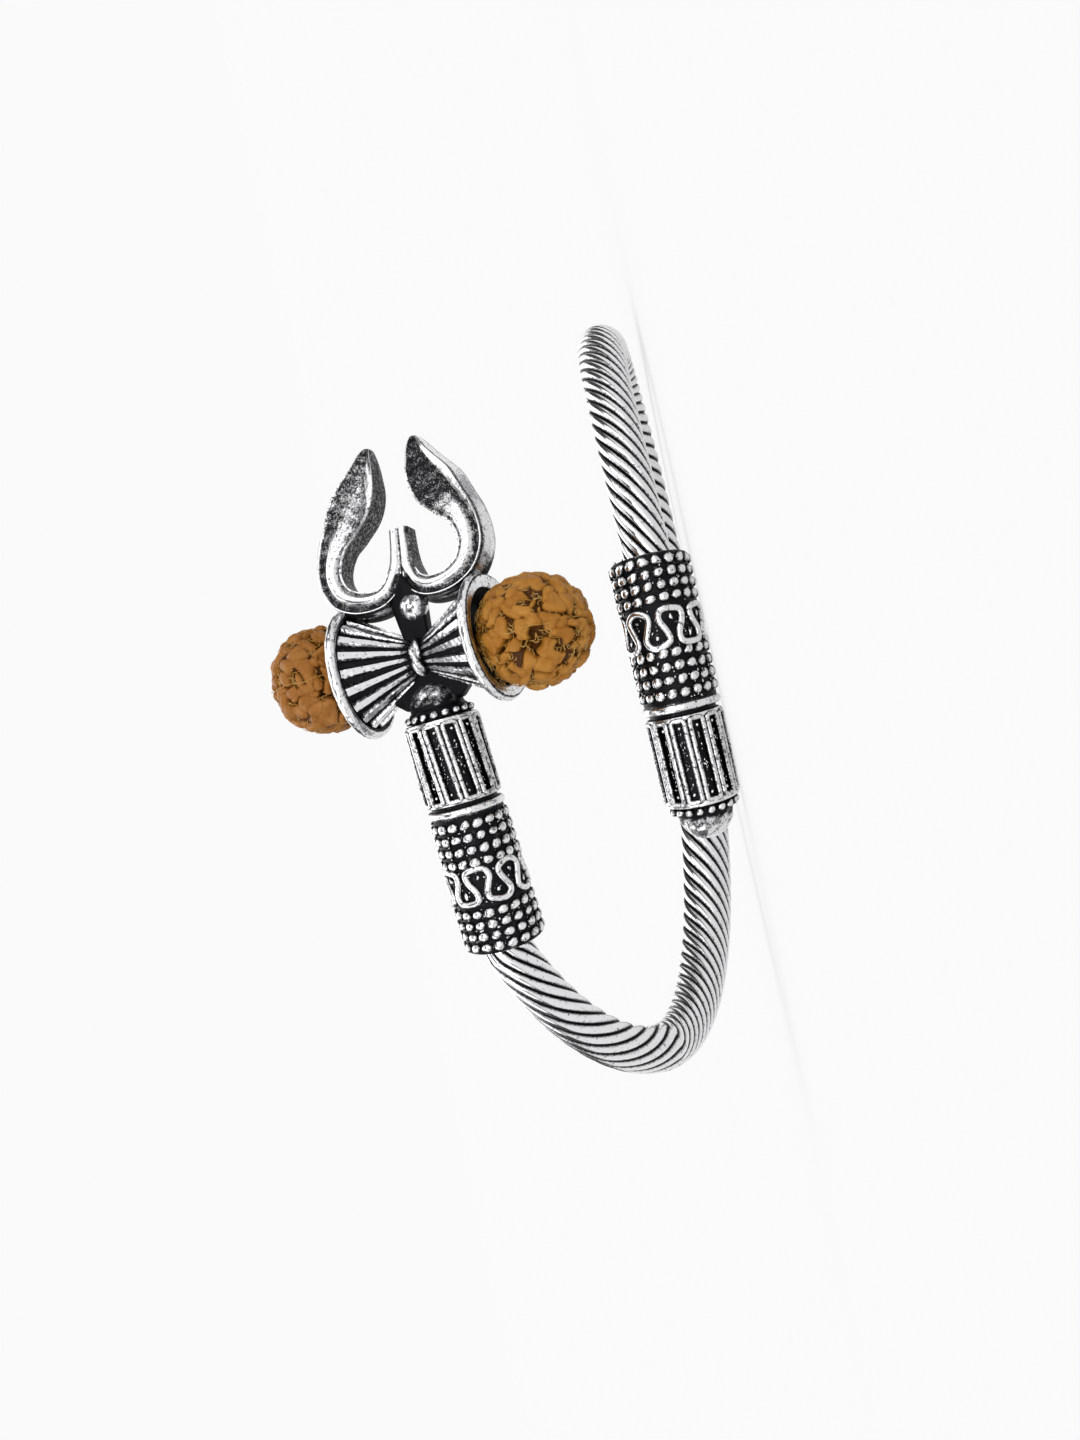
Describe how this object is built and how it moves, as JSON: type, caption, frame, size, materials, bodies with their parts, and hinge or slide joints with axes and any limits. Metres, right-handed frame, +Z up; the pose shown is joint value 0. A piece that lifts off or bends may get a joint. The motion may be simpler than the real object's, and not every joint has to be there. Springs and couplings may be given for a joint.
{
  "type": "trishul bracelet",
  "caption": "Bypass bangle of twisted cable rod with cast end sleeves, one carrying an hourglass drum, two seed beads and a trident.",
  "frame": {"origin": "centre of the box's base, on the plane that the bracelet lies on", "axes": "+Z up, along the wrist; +X the long way of the loop, towards the trident's tips; -Y the front, where the two ends pass each other"},
  "size_m": [0.0696, 0.0662, 0.0408],
  "materials": {
    "bright_silver": "bright, with dark tarnish in the grooves between the strands",
    "oxidised_silver": "cast and oxidised: near-black in the recesses, worn bright on the relief",
    "seed_lower": "orange-brown seed, lumpy with deep pits, slight wax sheen",
    "seed_upper": "brown seed, lumpy with deep pits, slight wax sheen"
  },
  "bodies": {
    "root": {"cable_rod": "bright_silver", "domed_sleeve": "oxidised_silver", "trident_sleeve": "oxidised_silver", "lower_rudraksha": "seed_lower", "upper_rudraksha": "seed_upper"}
  },
  "joints": []
}
